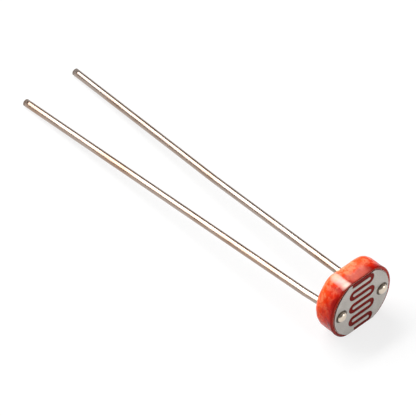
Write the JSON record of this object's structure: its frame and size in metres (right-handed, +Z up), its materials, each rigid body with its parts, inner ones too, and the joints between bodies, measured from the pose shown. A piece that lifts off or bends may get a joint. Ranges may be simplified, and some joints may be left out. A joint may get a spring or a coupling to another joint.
{
  "type": "photoresistor",
  "caption": "Light-dependent resistor: a ceramic disc with a winding light-sensitive track under a metal film, two tinned leads and an orange-red resin case.",
  "frame": {"origin": "middle of the level part of the case's lower flat, which the part lies on", "axes": "+Z up; -Y the way the light-sensitive face looks, +Y along the leads; +X along the flats, to the right when the face is looked at"},
  "size_m": [0.0052, 0.0285, 0.0043],
  "materials": {
    "alumina": "matte",
    "photoconductor": "satin",
    "electrode_film": "matte",
    "tinned_wire": "bright",
    "solder": "satin",
    "case_resin": "gloss"
  },
  "bodies": {
    "root": {"ceramic_base": "alumina", "cds_layer": "photoconductor", "electrode_left": "electrode_film", "electrode_right": "electrode_film", "lead_left": "tinned_wire", "lead_right": "tinned_wire", "solder_left": "solder", "solder_right": "solder", "resin_case": "case_resin"}
  },
  "joints": []
}
